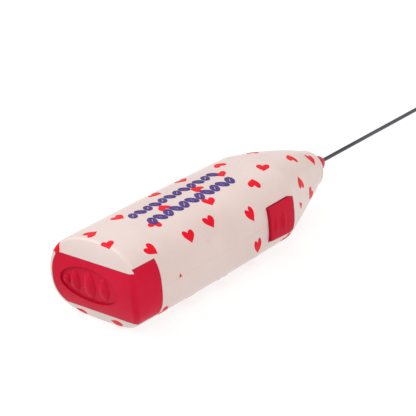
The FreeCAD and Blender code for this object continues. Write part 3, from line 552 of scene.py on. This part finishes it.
# ---- whisk head
def whisk_coil():
    """Fine wire wound on the whisk's ring, with every turn."""
    low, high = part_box("whisk_coil")
    ring_x = (low[0] + high[0]) / 2
    first = math.asin(RING_BEND_R / (RING_R - RING_BEND_R)) + math.radians(COIL_MARGIN)
    sweep = math.radians(RING_SWEEP - 2 * COIL_MARGIN)
    wind_r = COIL_R - COIL_WIRE_R
    curve = bpy.data.curves.new("whisk_winding", "CURVE")
    curve.dimensions = "3D"
    curve.bevel_depth = COIL_WIRE_R * MM
    curve.bevel_resolution = COIL_WIRE_DETAIL
    curve.use_fill_caps = True
    spline = curve.splines.new("POLY")
    count = COIL_TURNS * COIL_TURN_POINTS
    spline.points.add(count)
    for i in range(count + 1):
        part = i / count
        ring = first + sweep * part
        turn = 2 * math.pi * COIL_TURNS * part
        reach = RING_R + wind_r * math.cos(turn)
        place = Vector((ring_x + wind_r * math.sin(turn) * MM, reach * math.sin(ring) * MM,
                        SPIN_AXIS_Z + reach * math.cos(ring) * MM))
        spline.points[i].co = (*place, 1.0)
    obj = bpy.data.objects.new("whisk_winding", curve)
    bpy.context.scene.collection.objects.link(obj)
    curve.materials.append(MATERIALS["coil_steel"])
    graph = bpy.context.evaluated_depsgraph_get()
    mesh = bpy.data.meshes.new_from_object(obj.evaluated_get(graph), depsgraph=graph)
    bpy.data.objects.remove(obj)
    for polygon in mesh.polygons:
        polygon.use_smooth = True
    wound_obj = bpy.data.objects.new("whisk_winding", mesh)
    bpy.context.scene.collection.objects.link(wound_obj)
    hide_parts("whisk_coil")
    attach(wound_obj, "rotor")


# ---- switch leaf
def switch_leaf():
    """The sprung strip under the button, bowed along its middle line."""
    low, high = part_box("switch_leaf")
    bm = bmesh.new()
    line = []
    for (x_a, y_a), (x_b, y_b) in zip(LEAF_LINE, LEAF_LINE[1:]):
        for step in range(LEAF_STEPS):
            part = step / LEAF_STEPS
            line.append((x_a + (x_b - x_a) * part, y_a + (y_b - y_a) * part))
    line.append(LEAF_LINE[-1])
    corners = []
    for x, y in line:
        out, back = (y + LEAF_THICK / 2) * MM, (y - LEAF_THICK / 2) * MM
        row = []
        for depth, z in ((out, low[2]), (out, high[2]), (back, high[2]), (back, low[2])):
            row.append(bm.verts.new((CORNER_X + x * MM, -depth, z)))
        corners.append(row)
    for a, b in zip(corners, corners[1:]):
        for i in range(4):
            j = (i + 1) % 4
            bm.faces.new((a[i], a[j], b[j], b[i]))
    bm.faces.new(corners[0])
    bm.faces.new(corners[-1])
    obj = new_object("switch_leaf_sprung", bm, MATERIALS["leaf_bronze"], False)
    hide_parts("switch_leaf")
    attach(obj, "handle")
    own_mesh(obj)


# ---- studio
def make_camera():
    """Looks down on the cap end from the button's side."""
    heading = math.radians(CAMERA_HEADING)
    dip = math.radians(CAMERA_DIP)
    look = Vector((math.sin(heading) * math.cos(dip), math.cos(heading) * math.cos(dip), -math.sin(dip)))
    data = bpy.data.cameras.new("camera")
    data.lens = CAMERA_LENS
    data.sensor_width = SENSOR_WIDTH
    data.clip_start = CLIP_NEAR
    data.clip_end = CLIP_FAR
    camera = bpy.data.objects.new("camera", data)
    bpy.context.scene.collection.objects.link(camera)
    turn = look.to_track_quat("-Z", "Y").to_matrix().to_4x4()
    roll = Matrix.Rotation(math.radians(-CAMERA_ROLL), 4, "Z")
    camera.matrix_world = Matrix.Translation(CAMERA_AIM - look * CAMERA_DISTANCE) @ turn @ roll
    bpy.context.scene.camera = camera


def make_world():
    """Soft light from all round, brighter from above."""
    world = bpy.data.worlds.new("studio")
    world.use_nodes = True
    tree = world.node_tree
    coords = tree.nodes.new("ShaderNodeTexCoord")
    split = tree.nodes.new("ShaderNodeSeparateXYZ")
    ramp = tree.nodes.new("ShaderNodeValToRGB")
    ramp.color_ramp.elements[0].position = 0.0
    ramp.color_ramp.elements[0].color = (*WORLD_LOW, 1.0)
    ramp.color_ramp.elements[1].position = WORLD_RAMP_END
    ramp.color_ramp.elements[1].color = (*WORLD_HIGH, 1.0)
    tree.links.new(coords.outputs["Generated"], split.inputs["Vector"])
    tree.links.new(split.outputs["Z"], ramp.inputs["Fac"])
    tree.links.new(ramp.outputs["Color"], tree.nodes["Background"].inputs["Color"])
    tree.nodes["Background"].inputs["Strength"].default_value = WORLD_STRENGTH
    bpy.context.scene.world = world


def make_floor():
    """A plain pale floor just under the handle."""
    bm = bmesh.new()
    bmesh.ops.create_grid(bm, x_segments=FLOOR_CELLS, y_segments=FLOOR_CELLS, size=FLOOR_HALF)
    material, shader = new_material("floor_white", (0.2, 0.2, 0.2), 0.8)
    shader.inputs["Specular IOR Level"].default_value = 0.1
    shader.inputs["Emission Color"].default_value = (*FLOOR_COLOUR, 1.0)
    shader.inputs["Emission Strength"].default_value = FLOOR_GLOW
    blend_colours(material, shader, noise(material, 3.0), (0.235, 0.235, 0.235), (0.245, 0.245, 0.245))
    floor = new_object("floor", bm, material)
    floor.location.z = -FLOOR_GAP


def area_light(name, direction, distance, size, power, colour=(1.0, 1.0, 1.0)):
    """A square lamp seen in the given direction from the camera's aim, at a distance in metres."""
    direction = Vector(direction).normalized()
    data = bpy.data.lights.new(name, "AREA")
    data.energy = power
    data.color = colour
    data.size = size
    light = bpy.data.objects.new(name, data)
    bpy.context.scene.collection.objects.link(light)
    place = CAMERA_AIM + direction * distance
    light.matrix_world = Matrix.Translation(place) @ direction.to_track_quat("Z", "Y").to_matrix().to_4x4()


make_camera()
make_world()
make_floor()
area_light("back_left", (-0.45, 0.60, 0.67), 0.9, 0.45, 3.1)
area_light("overhead", (-0.2, -0.35, 1.0), 1.1, 0.8, 2.4)
area_light("side", (0.1, -1.0, 0.5), 1.0, 0.7, 1.5, (1.0, 0.88, 0.76))
bpy.context.scene.view_settings.view_transform = "Standard"

dress_nodes()
shell_tree = surface_tree(nodes["upper_shell"], nodes["lower_shell"])
print_hearts(shell_tree)
print_ornament(shell_tree)
whisk_coil()
switch_leaf()
